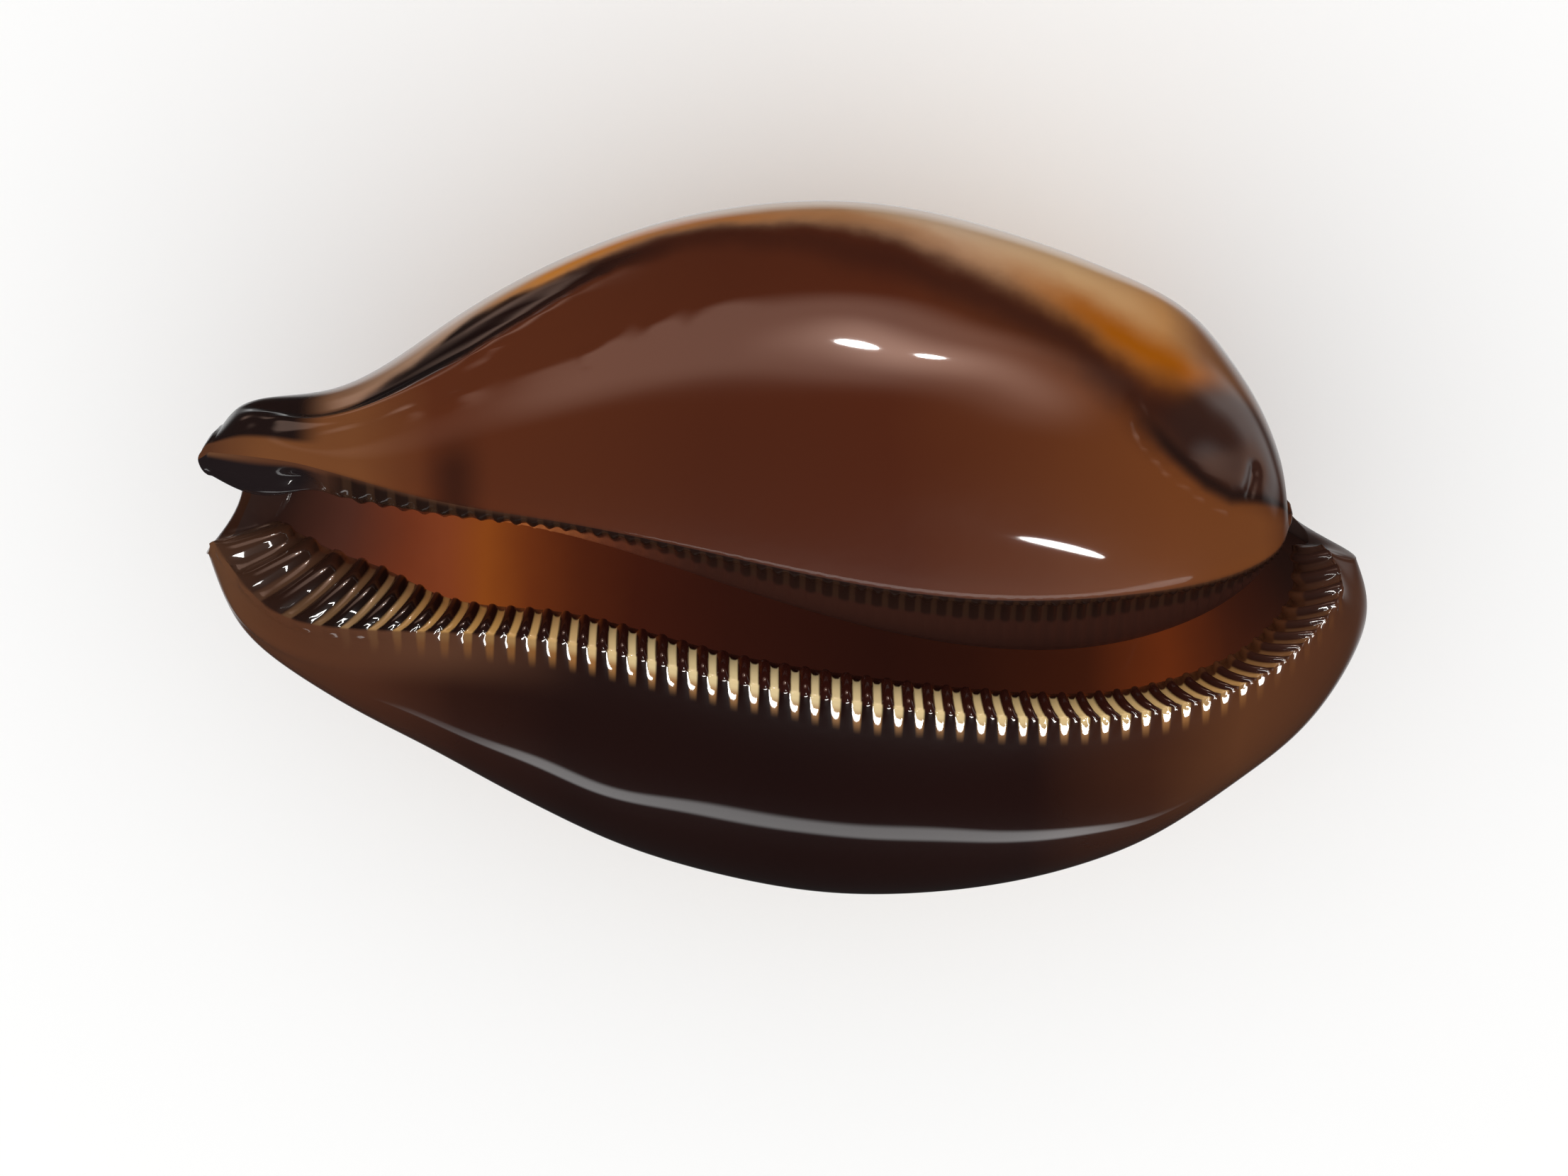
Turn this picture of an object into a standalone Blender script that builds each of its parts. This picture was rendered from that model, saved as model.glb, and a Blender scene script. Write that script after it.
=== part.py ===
"""A brown cowrie, Talparia exusta, as one closed solid that lies on its back with the mouth up.

The shell is a loft through loops that have no common outline. Each loop starts at the crest of the
columellar side, goes round the back to the crest of the outer lip, over the lip's toothed face,
round the inside of the hollow and up the columella's toothed face. The loops leave the mouth open
from end to end, and a rounded rim closes the wall at the two canals.

+X points to the spire end, +Y to the columellar side and +Z out of the mouth.
"""

import bmesh
import bpy
import numpy as np

MM = 0.001
NAME = "shell"
COLLECTION = "cowrie"

# Teeth of each side of the mouth, and the columns and height of one
TEETH = 58
COLUMNS_PER_TOOTH = 4
TOOTH_PROFILE = np.array([-1.0, 1.0, 1.0, -1.0])
LIP_TOOTH_HEIGHT = 0.26
COLUMELLA_TOOTH_HEIGHT = 0.16
LIP_TEETH_SPAN = (0.0, 1.0)
COLUMELLA_TEETH_SPAN = (0.1, 0.97)
TOOTH_FADE = 0.02

# Rows of each stretch of the loop; the outside and the inside have as many
OUTSIDE_ROWS = {"columellar_base": 7, "columellar_back": 6, "labral_back": 6, "labral_base": 8}
INSIDE_ROWS = {
    "lip_face": 5,
    "lip_underside": 2,
    "labral_wall": 3,
    "labral_floor": 3,
    "columellar_floor": 3,
    "columellar_wall": 3,
    "columella_underside": 2,
    "columella_bulge": 3,
    "columella_face": 3,
}
BASE_ROW_POWER = 1.25

# Rim of the canals: how far it stands out past the last loop, its rings, and where it points
RIM_OVERHANG = 0.8
RIM_ANGLES = np.radians([45.0, 90.0])
FRONT_RIM = (-1.0, 0.0, 0.0)
SPIRE_RIM = (0.4, 0.3, 0.0)

# Flat spot of the back that the shell rests on
FLAT_SPOT_DEPTH = 0.3

# Stations from the front canal (0) to the spire end (1), and the sizes there in millimetres
STATIONS = np.array([0, 0.05, 0.11, 0.19, 0.31, 0.44, 0.57, 0.69, 0.80, 0.88, 0.94, 0.97, 1])
RAILS = {
    # Crest of the columellar side
    "columella_x": [-37.3, -34.4, -30.2, -23.8, -14.6, -4.8, 5.0, 13.8, 21.8, 27.6, 31.1, 32.3, 33.0],
    "columella_y": [9.0, 9.2, 9.0, 7.8, 6.6, 4.9, 2.9, 1.8, 1.8, 2.2, 3.0, 3.7, 4.5],
    "columella_z": [7.6, 9.3, 11.2, 13.2, 15.0, 16.2, 16.8, 16.6, 15.6, 13.8, 12.0, 11.0, 9.2],
    # Crest of the outer lip
    "lip_x": [-37.4, -34.2, -29.8, -23.6, -14.4, -4.4, 5.6, 14.8, 23.6, 30.2, 34.6, 36.3, 35.2],
    "lip_y": [2.6, -0.7, -1.7, -1.3, -1.4, -3.4, -5.1, -6.0, -5.8, -4.2, -1.2, 1.2, 3.3],
    "lip_z": [6.6, 9.1, 11.3, 13.6, 15.6, 16.8, 17.3, 17.2, 16.4, 15.0, 13.2, 11.4, 9.3],
    # Line along the middle of the back
    "back_x": [-35.6, -32.4, -28.4, -22.8, -14.0, -4.6, 5.2, 14.0, 22.0, 27.8, 31.4, 32.5, 33.0],
    "back_y": [5.6, 4.6, 3.6, 2.4, 1.4, 1.2, 1.2, 1.2, 1.2, 1.4, 2.2, 2.9, 4.0],
    "back_z": [1.8, -1.0, -5.2, -10.2, -15.8, -19.4, -20.4, -19.4, -16.2, -10.6, -4.6, -1.4, 2.2],
    # Widest line of the columellar side
    "near_x": [-36.7, -34.8, -30.0, -23.6, -14.6, -4.8, 5.0, 13.8, 22.0, 27.8, 31.5, 32.6, 32.9],
    "near_y": [10.1, 11.6, 11.9, 15.2, 20.2, 23.2, 23.8, 22.1, 19.3, 16.0, 10.9, 8.2, 5.6],
    "near_z": [5.2, 5.0, 4.2, 3.4, 2.4, 2.0, 2.0, 2.0, 2.4, 3.6, 5.2, 6.0, 6.9],
    # Widest line of the outer lip's side
    "far_x": [-38.0, -36.1, -31.0, -23.8, -14.4, -4.4, 5.6, 14.8, 24.2, 31.2, 36.8, 38.6, 37.8],
    "far_y": [1.2, -3.6, -8.1, -12.4, -18.0, -21.8, -23.2, -22.3, -19.0, -13.9, -7.7, -2.8, 1.4],
    "far_z": [4.6, 4.4, 3.8, 3.0, 2.2, 2.0, 2.0, 2.0, 2.4, 3.4, 4.8, 6.0, 6.6],
    # Toothed face of the outer lip: how far it slants along, reaches across and drops
    "lip_slant": [4.2, 4.4, 3.4, 1.6, 0.2, 0, 0, -0.4, -1.2, -2.1, -2.9, -3.0, -1.8],
    "lip_reach": [1.0, 2.8, 3.0, 1.4, 1.2, 1.1, 1.1, 1.0, 0.7, 0.3, -0.7, -1.2, -0.6],
    "lip_drop": [1.2, 2.4, 3.2, 2.8, 2.4, 2.2, 2.2, 2.2, 2.2, 2.4, 2.2, 2.0, 1.4],
    # Toothed face of the columella, and the swelling below it
    "columella_reach": [2.0, 3.0, 2.4, 1.5, 0.8, 0.7, 0.7, 0.7, 0.7, 0.7, 0.7, 0.6, 0.4],
    "columella_drop": [1.4, 1.5, 1.6, 1.6, 1.5, 1.6, 1.8, 1.8, 1.8, 1.7, 1.5, 1.4, 1.2],
    "bulge": [0, 0, 0, 0.1, 1.0, 2.6, 4.0, 4.8, 4.8, 3.4, 1.6, 0.7, 0],
    # Wall of the back, and how far the undersides of both lips run back under them
    "wall": [1.4, 1.8, 2.0, 2.0, 2.0, 2.0, 2.0, 2.0, 2.0, 2.0, 1.9, 1.6, 1.0],
    "undercut": [0.2, 0.8, 1.6, 2.6, 4.5, 5.5, 6.0, 6.0, 5.0, 3.5, 1.6, 0.8, 0.3],
    # How far the hollow stands back from the rims of the canals
    "hollow_end": [3.2, 1.6, 0.4, 0, 0, 0, 0, 0, 0, 0, -0.3, -0.8, -1.6],
    # Pitch of the teeth, against the pitch in the middle of the lip
    "pitch": [2.0, 1.9, 1.6, 1.25, 1, 1, 1, 1, 1, 0.97, 0.95, 0.95, 0.95],
}

# Shallow pits of the surface: middle, radii and depth
PITS = {
    "spire_pit": ((28.8, 10.6, 11.4), (4.2, 2.4, 3.0), 0.8),
    "canal_dimple": ((-31.2, 7.4, 10.0), (2.2, 1.4, 1.6), 0.6),
}

SHELL_COLOUR = (0.115, 0.045, 0.02, 1.0)
SHELL_ROUGHNESS = 0.12
SHELL_METALLIC = 0.0


def clear_scene():
    """Removes every object of the scene."""
    for item in list(bpy.data.objects):
        bpy.data.objects.remove(item, do_unlink=True)


def natural_spline(values):
    """Returns a smooth curve through one value at each station, as a function of the station."""
    values = np.array(values, dtype=float)
    gap = np.diff(STATIONS)
    slope = np.diff(values) / gap
    system = np.eye(len(STATIONS))
    bend = np.zeros(len(STATIONS))
    for i in range(1, len(STATIONS) - 1):
        system[i, i - 1:i + 2] = gap[i - 1], 2 * (gap[i - 1] + gap[i]), gap[i]
        bend[i] = 6 * (slope[i] - slope[i - 1])
    bend = np.linalg.solve(system, bend)

    def curve(w):
        i = np.clip(np.searchsorted(STATIONS, w, side="right") - 1, 0, len(gap) - 1)
        past = w - STATIONS[i]
        left = STATIONS[i + 1] - w
        cubic = (bend[i] * left**3 + bend[i + 1] * past**3) / (6 * gap[i])
        start = values[i] / gap[i] - bend[i] * gap[i] / 6
        end = values[i + 1] / gap[i] - bend[i + 1] * gap[i] / 6
        return cubic + start * left + end * past

    return curve


CURVES = {name: natural_spline(values) for name, values in RAILS.items()}


def rail(name, w):
    """Returns the points of a rail, such as lip, at the stations w."""
    return np.stack([CURVES[f"{name}_{axis}"](w) for axis in "xyz"], axis=1)


def tooth_columns():
    """Returns the station of every column, so that each tooth has its share of the lip's crest."""
    w = np.linspace(0, 1, 2001)
    steps = np.linalg.norm(np.diff(rail("lip", w), axis=0), axis=1)
    teeth = np.concatenate([[0], np.cumsum(steps / CURVES["pitch"](w[1:]))])
    count = TEETH * COLUMNS_PER_TOOTH + 1
    return np.interp(np.linspace(0, teeth[-1], count), teeth, w)


def quarter(start, end, count, leaves_flat, power=1.0, slant=False):
    """Returns the rows of a quarter ellipse from start to end, without its start.

    leaves_flat makes it leave start along the mouth's plane and meet end along Z. A power over 1
    draws the rows towards the flat end.
    """
    rows = []
    for share in np.linspace(0, 1, count + 1)[1:]:
        share = share**power if leaves_flat else 1 - (1 - share)**power
        sine = np.sin(share * np.pi / 2)
        rise = 1 - np.cos(share * np.pi / 2)
        across, up = (sine, rise) if leaves_flat else (rise, sine)
        along = sine if slant else sine**2
        rows.append(start + (end - start) * np.array([along, across, up]))
    return rows


def shift(w, x=0.0, y=0.0, z=0.0):
    """Returns one offset for each station of w."""
    return np.stack([np.zeros_like(w) + value for value in (x, y, z)], axis=1)


def inner_side(side, underside, back, wall, setback, sign):
    """Returns the widest points of the hollow on one side of the shell."""
    points = side + shift(wall, y=-1.35 * sign * wall)
    points[:, 1] = sign * np.maximum(sign * points[:, 1], sign * underside[:, 1] + 0.2)
    points[:, 2] = np.minimum(points[:, 2], underside[:, 2] - 0.4)
    points[:, 0] += 0.35 * (back[:, 0] - points[:, 0]) + setback
    return points


def swelling(start, end, count):
    """Returns the rows of the columella's bulge, an S-shaped slope from start up to end."""
    rows = []
    for share in np.linspace(0, 1, count + 1)[1:]:
        across = (1 - np.cos(share * np.pi)) / 2
        rows.append(start + (end - start) * np.array([share, across, share]))
    return rows


def loops(w):
    """Returns the smooth shell's points, one loop for each station of w, as [station, row, xyz]."""
    columella, lip, back = rail("columella", w), rail("lip", w), rail("back", w)
    near, far = rail("near", w), rail("far", w)
    wall, undercut, bulge = (CURVES[name](w) for name in ("wall", "undercut", "bulge"))
    lip_foot = lip + shift(w, CURVES["lip_slant"](w), CURVES["lip_reach"](w), -CURVES["lip_drop"](w))
    lip_root = lip_foot + shift(w, y=-0.45 * undercut, z=-0.3 * undercut - 0.3)
    columella_foot = columella + shift(w, y=-CURVES["columella_reach"](w), z=-CURVES["columella_drop"](w))
    bulge_foot = columella_foot + shift(w, y=-bulge, z=-1.2 - 0.8 * bulge)
    columella_root = bulge_foot + shift(w, y=0.45 * undercut + bulge, z=-0.3 * (undercut + bulge) - 0.3)
    setback = CURVES["hollow_end"](w)
    far_inside = inner_side(far, lip_root, back, wall, setback, -1)
    near_inside = inner_side(near, columella_root, back, wall, setback, 1)
    floor = back + shift(w, x=setback, z=wall)
    out, into = OUTSIDE_ROWS, INSIDE_ROWS
    rows = [columella]
    rows += quarter(columella, near, out["columellar_base"], True, BASE_ROW_POWER)
    rows += quarter(near, back, out["columellar_back"], False)
    rows += quarter(back, far, out["labral_back"], True)
    rows += quarter(far, lip, out["labral_base"], False, BASE_ROW_POWER)
    rows += quarter(lip, lip_foot, into["lip_face"], True, slant=True)
    rows += quarter(lip_foot, lip_root, into["lip_underside"], False)
    rows += quarter(lip_root, far_inside, into["labral_wall"], True)
    rows += quarter(far_inside, floor, into["labral_floor"], False)
    rows += quarter(floor, near_inside, into["columellar_floor"], True)
    rows += quarter(near_inside, columella_root, into["columellar_wall"], False)
    rows += quarter(columella_root, bulge_foot, into["columella_underside"], True)
    rows += swelling(bulge_foot, columella_foot, into["columella_bulge"])
    rows += quarter(columella_foot, columella, into["columella_face"], False)[:-1]
    return np.stack(rows, axis=1)


def toothed_rows():
    """Returns the tooth height, and the first and last station with teeth, of each toothed row."""
    crest = sum(OUTSIDE_ROWS.values())
    rows = {crest: (0.35 * LIP_TOOTH_HEIGHT, LIP_TEETH_SPAN)}
    for row in range(crest + 1, crest + 1 + INSIDE_ROWS["lip_face"]):
        rows[row] = (LIP_TOOTH_HEIGHT, LIP_TEETH_SPAN)
    last = crest + sum(INSIDE_ROWS.values())
    for row in range(last - INSIDE_ROWS["columella_face"], last):
        rows[row] = (COLUMELLA_TOOTH_HEIGHT, COLUMELLA_TEETH_SPAN)
    return rows


def normals(grid):
    """Returns the directions square to the surface at the points of a grid, out of the shell."""
    along = np.gradient(grid, axis=0)
    around = (np.roll(grid, -1, axis=1) - np.roll(grid, 1, axis=1)) / 2
    direction = np.cross(along, around)
    return direction / np.linalg.norm(direction, axis=2, keepdims=True)


def relief(grid, w):
    """Raises the teeth and sinks the pits of a smooth grid."""
    height = np.zeros(grid.shape[:2])
    wave = TOOTH_PROFILE[np.arange(len(w)) % COLUMNS_PER_TOOTH]
    for row, (tooth_height, (first, last)) in toothed_rows().items():
        fade = np.clip(np.minimum(w - first, last - w) / TOOTH_FADE, 0, 1)
        height[:, row] += tooth_height * wave * fade
    for middle, radii, depth in PITS.values():
        distance = ((grid - np.array(middle)) / np.array(radii))**2
        height -= depth * np.exp(-distance.sum(axis=2))
    return grid + normals(grid) * height[:, :, None]


def rim_rings(loop, direction):
    """Returns the rings that round off the wall at one end, from the loop out to its ridge."""
    partner = loop[-np.arange(len(loop)) % len(loop)]
    middle = (loop + partner) / 2
    half_wall = np.linalg.norm(loop - middle, axis=1)
    overhang = np.outer(np.minimum(half_wall, RIM_OVERHANG), direction)
    return [middle + (loop - middle) * np.cos(a) + overhang * np.sin(a) for a in RIM_ANGLES]


def add_strip(shape, left, right):
    """Joins two neighbouring columns of vertices; each holds a list of vertices for every row."""
    for row in range(len(left)):
        below, above = left[row] + right[row][:1], left[(row + 1) % len(left)]
        above = above + right[(row + 1) % len(left)][:1]
        if len(below) == len(above):
            for k in range(len(below) - 1):
                shape.faces.new((below[k], below[k + 1], above[k + 1], above[k]))
        else:
            shape.faces.new(below + above[::-1])


def shell_mesh():
    """Returns the shell's mesh in metres, its flat spot cut."""
    w = tooth_columns()
    grid = relief(loops(w), w)
    fine_rows = toothed_rows()
    shape = bmesh.new()
    columns = []
    for ring in rim_rings(grid[0], FRONT_RIM)[::-1]:
        columns.append([[shape.verts.new(point)] for point in ring])
    for k in range(0, len(w) - 1, COLUMNS_PER_TOOTH):
        column = []
        for row in range(grid.shape[1]):
            count = COLUMNS_PER_TOOTH if row in fine_rows else 1
            column.append([shape.verts.new(grid[k + n, row]) for n in range(count)])
        columns.append(column)
    columns.append([[shape.verts.new(point)] for point in grid[-1]])
    for ring in rim_rings(grid[-1], SPIRE_RIM):
        columns.append([[shape.verts.new(point)] for point in ring])
    for left, right in zip(columns, columns[1:]):
        add_strip(shape, left, right)
    bmesh.ops.remove_doubles(shape, verts=shape.verts, dist=1e-4)
    bmesh.ops.triangulate(shape, faces=shape.faces)
    cut_flat_spot(shape)
    centre_on_base(shape)
    bmesh.ops.scale(shape, vec=(MM, MM, MM), verts=shape.verts)
    mesh = bpy.data.meshes.new(NAME)
    shape.to_mesh(mesh)
    shape.free()
    return mesh


def cut_flat_spot(shape):
    """Cuts the lowest part of the back off flat."""
    height = min(vertex.co.z for vertex in shape.verts) + FLAT_SPOT_DEPTH
    everything = shape.verts[:] + shape.edges[:] + shape.faces[:]
    cut = bmesh.ops.bisect_plane(shape, geom=everything, dist=1e-5, plane_co=(0, 0, height),
                                 plane_no=(0, 0, -1), clear_outer=True)
    border = [item for item in cut["geom_cut"] if isinstance(item, bmesh.types.BMEdge)]
    bmesh.ops.holes_fill(shape, edges=border, sides=0)


def centre_on_base(shape):
    """Moves the shell so that the middle of its box's underside is the origin."""
    points = np.array([vertex.co for vertex in shape.verts])
    low, high = points.min(axis=0), points.max(axis=0)
    base = np.array([(low[0] + high[0]) / 2, (low[1] + high[1]) / 2, low[2]])
    bmesh.ops.translate(shape, vec=-base, verts=shape.verts)


def shell_material():
    """Returns the glossy brown material of the shell."""
    material = bpy.data.materials.new("glossy_brown_shell")
    material.use_nodes = True
    surface = material.node_tree.nodes["Principled BSDF"]
    surface.inputs["Base Color"].default_value = SHELL_COLOUR
    surface.inputs["Roughness"].default_value = SHELL_ROUGHNESS
    surface.inputs["Metallic"].default_value = SHELL_METALLIC
    material.diffuse_color = SHELL_COLOUR
    return material


def build():
    """Makes the shell in a collection of its own."""
    clear_scene()
    collection = bpy.data.collections.new(COLLECTION)
    bpy.context.scene.collection.children.link(collection)
    mesh = shell_mesh()
    mesh.shade_smooth()
    mesh.set_sharp_from_angle(angle=np.radians(40))
    mesh.materials.append(shell_material())
    collection.objects.link(bpy.data.objects.new(NAME, mesh))


build()
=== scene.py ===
"""A brown cowrie shell lying on its back, its mouth up, on a plain pale floor.

The shell is one piece. It is lofted through closed loops that start at the crest of the columellar
side, go round the back to the crest of the outer lip, over the lip's teeth, round the hollow and up
the columella's teeth. Three sets of surface coordinates follow the growth of the shell, and its
finish is worked out from them.
"""

import logging
import math
from dataclasses import dataclass, field
from enum import Enum, IntEnum
from typing import Any, Callable, Sequence

import bpy
import numpy as np
from mathutils import Matrix, Vector


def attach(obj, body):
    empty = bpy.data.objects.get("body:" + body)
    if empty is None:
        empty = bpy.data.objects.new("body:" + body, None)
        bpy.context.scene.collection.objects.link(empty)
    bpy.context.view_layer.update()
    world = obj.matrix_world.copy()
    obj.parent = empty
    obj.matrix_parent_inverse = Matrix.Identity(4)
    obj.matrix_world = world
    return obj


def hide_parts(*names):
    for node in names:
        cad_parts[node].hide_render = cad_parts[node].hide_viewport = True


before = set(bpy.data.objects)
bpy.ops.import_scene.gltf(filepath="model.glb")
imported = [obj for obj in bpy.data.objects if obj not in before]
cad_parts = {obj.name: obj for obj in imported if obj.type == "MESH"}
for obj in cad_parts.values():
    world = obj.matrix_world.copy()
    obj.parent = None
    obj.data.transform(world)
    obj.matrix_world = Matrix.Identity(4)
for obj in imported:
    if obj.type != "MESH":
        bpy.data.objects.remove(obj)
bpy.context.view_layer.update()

LOG = logging.getLogger("cowrie")
MM = 0.001

Points = np.ndarray
Profile = Callable[[np.ndarray], np.ndarray]
Pair = tuple[float, float]
Triple = tuple[float, float, float]
Series = tuple[float, ...]
Seen = tuple[int, int, int]
Stops = Sequence[tuple[float, Seen]]
Track = Sequence[Pair]


class Stretch(IntEnum):
    """The stretches of a loop in their order; the value is the number that each starts at."""

    COLUMELLAR_BASE = 0
    COLUMELLAR_BACK = 1
    LABRAL_BACK = 2
    LABRAL_BASE = 3
    LIP_FACE = 4
    LIP_UNDERSIDE = 5
    LABRAL_WALL = 6
    LABRAL_FLOOR = 7
    COLUMELLAR_FLOOR = 8
    COLUMELLAR_WALL = 9
    COLUMELLA_UNDERSIDE = 10
    COLUMELLA_SWELLING = 11
    COLUMELLA_FACE = 12


class SurfaceMap(Enum):
    """The coordinates that follow the surface, each kept in a UV map of its own."""

    GROWTH = "growth"
    LIP = "lip"
    COLUMELLA = "columella"


def smooth_step(values: np.ndarray, low: float, high: float) -> np.ndarray:
    """Returns a soft step that is 0 at low and 1 at high.

    Args:
        values: The numbers to step.
        low: Where the step starts.
        high: Where it ends; it may be below low.

    Returns:
        Numbers from 0 to 1.
    """
    share = np.clip((values - low) / (high - low), 0, 1)
    return share * share * (3 - 2 * share)


def hump(values: np.ndarray, middle: Any, width: Any) -> np.ndarray:
    """Returns a bell that is 1 at the middle and falls off over its width."""
    return np.exp(-(((values - middle) / width) ** 2))


@dataclass(frozen=True)
class Rail:
    """A line along the shell: its points at the stations, in millimetres."""

    x: Series
    y: Series
    z: Series


@dataclass(frozen=True)
class Growth:
    """The shell's main shape: its rails, and the sizes of its lips and wall, at thirteen stations."""

    stations: Series = (0, 0.05, 0.11, 0.19, 0.31, 0.44, 0.57, 0.69, 0.80, 0.88, 0.94, 0.97, 1)
    columella: Rail = Rail(
        (-37.3, -34.4, -30.2, -23.8, -14.6, -4.8, 5.0, 13.8, 21.8, 27.6, 31.1, 32.3, 33.0),
        (9.0, 9.2, 9.0, 7.8, 6.6, 4.9, 2.9, 1.8, 1.8, 2.2, 3.0, 3.7, 4.5),
        (7.6, 9.3, 11.2, 13.2, 15.0, 16.2, 16.8, 16.6, 15.6, 13.8, 12.0, 11.0, 9.2),
    )
    lip: Rail = Rail(
        (-37.4, -34.2, -29.8, -23.6, -14.4, -4.4, 5.6, 14.8, 23.6, 30.2, 34.6, 36.3, 35.2),
        (2.6, -0.7, -1.7, -1.3, -1.4, -3.4, -5.1, -6.0, -5.8, -4.2, -1.2, 1.2, 3.3),
        (6.6, 9.1, 11.3, 13.6, 15.6, 16.8, 17.3, 17.2, 16.4, 15.0, 13.2, 11.4, 9.3),
    )
    back: Rail = Rail(
        (-35.6, -32.4, -28.4, -22.8, -14.0, -4.6, 5.2, 14.0, 22.0, 27.8, 31.4, 32.5, 33.0),
        (5.6, 4.6, 3.6, 2.4, 1.4, 1.2, 1.2, 1.2, 1.2, 1.4, 2.2, 2.9, 4.0),
        (1.8, -1.0, -5.2, -10.2, -15.8, -19.4, -20.4, -19.4, -16.2, -10.6, -4.6, -1.4, 2.2),
    )
    near: Rail = Rail(
        (-36.7, -34.8, -30.0, -23.6, -14.6, -4.8, 5.0, 13.8, 22.0, 27.8, 31.5, 32.6, 32.9),
        (10.1, 11.6, 11.9, 15.2, 20.2, 23.2, 23.8, 22.1, 19.3, 16.0, 10.9, 8.2, 5.6),
        (5.2, 5.0, 4.2, 3.4, 2.4, 2.0, 2.0, 2.0, 2.4, 3.6, 5.2, 6.0, 6.9),
    )
    far: Rail = Rail(
        (-38.0, -36.1, -31.0, -23.8, -14.4, -4.4, 5.6, 14.8, 24.2, 31.2, 36.8, 38.6, 37.8),
        (1.2, -3.6, -8.1, -12.4, -18.0, -21.8, -23.2, -22.3, -19.0, -13.9, -7.7, -2.8, 1.4),
        (4.6, 4.4, 3.8, 3.0, 2.2, 2.0, 2.0, 2.0, 2.4, 3.4, 4.8, 6.0, 6.6),
    )
    lip_slant: Series = (4.2, 4.4, 3.4, 1.6, 0.2, 0, 0, -0.4, -1.2, -2.1, -2.9, -3.0, -1.8)
    lip_reach: Series = (1.0, 2.8, 3.0, 1.4, 1.2, 1.1, 1.1, 1.0, 0.7, 0.3, -0.7, -1.2, -0.6)
    lip_drop: Series = (1.2, 2.4, 3.2, 2.8, 2.4, 2.2, 2.2, 2.2, 2.2, 2.4, 2.2, 2.0, 1.4)
    columella_reach: Series = (2.0, 3.0, 2.4, 1.5, 0.8, 0.7, 0.7, 0.7, 0.7, 0.7, 0.7, 0.6, 0.4)
    columella_drop: Series = (1.4, 1.5, 1.6, 1.6, 1.5, 1.6, 1.8, 1.8, 1.8, 1.7, 1.5, 1.4, 1.2)
    swelling: Series = (0, 0, 0, 0.1, 1.0, 2.6, 4.0, 4.8, 4.8, 3.4, 1.6, 0.7, 0)
    wall: Series = (1.4, 1.8, 2.0, 2.0, 2.0, 2.0, 2.0, 2.0, 2.0, 2.0, 1.9, 1.6, 1.0)
    undercut: Series = (0.2, 0.8, 1.6, 2.6, 4.5, 5.5, 6.0, 6.0, 5.0, 3.5, 1.6, 0.8, 0.3)
    hollow_end: Series = (3.2, 1.6, 0.4, 0, 0, 0, 0, 0, 0, 0, -0.3, -0.8, -1.6)
    tooth_pitch: Series = (2.0, 1.9, 1.6, 1.25, 1, 1, 1, 1, 1, 0.97, 0.95, 0.95, 0.95)
    base_point: Triple = (0.273, 0.34, -20.105)

    def curve(self, values: Sequence[float]) -> Profile:
        """Returns a natural cubic spline through one value at each station.

        Args:
            values: The values at the stations.

        Returns:
            A function of the place along the shell.
        """
        knots = np.array(self.stations)
        heights = np.array(values, dtype=float)
        gap = np.diff(knots)
        slope = np.diff(heights) / gap
        system = np.eye(len(knots))
        bend = np.zeros(len(knots))
        for i in range(1, len(knots) - 1):
            system[i, i - 1 : i + 2] = gap[i - 1], 2 * (gap[i - 1] + gap[i]), gap[i]
            bend[i] = 6 * (slope[i] - slope[i - 1])
        bend = np.linalg.solve(system, bend)

        def at(w: np.ndarray) -> np.ndarray:
            """Returns the spline's values at w."""
            i = np.clip(np.searchsorted(knots, w, side="right") - 1, 0, len(gap) - 1)
            past = w - knots[i]
            left = knots[i + 1] - w
            cubic = (bend[i] * left**3 + bend[i + 1] * past**3) / (6 * gap[i])
            start = heights[i] / gap[i] - bend[i] * gap[i] / 6
            end = heights[i + 1] / gap[i] - bend[i + 1] * gap[i] / 6
            return cubic + start * left + end * past

        return at

    def line(self, rail: Rail, w: np.ndarray) -> Points:
        """Returns the points of a rail at the places w along the shell."""
        return np.stack([self.curve(axis)(w) for axis in (rail.x, rail.y, rail.z)], axis=1)

    def size(self, values: Sequence[float], w: np.ndarray) -> np.ndarray:
        """Returns a size at the places w along the shell."""
        return self.curve(values)(w)


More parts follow.
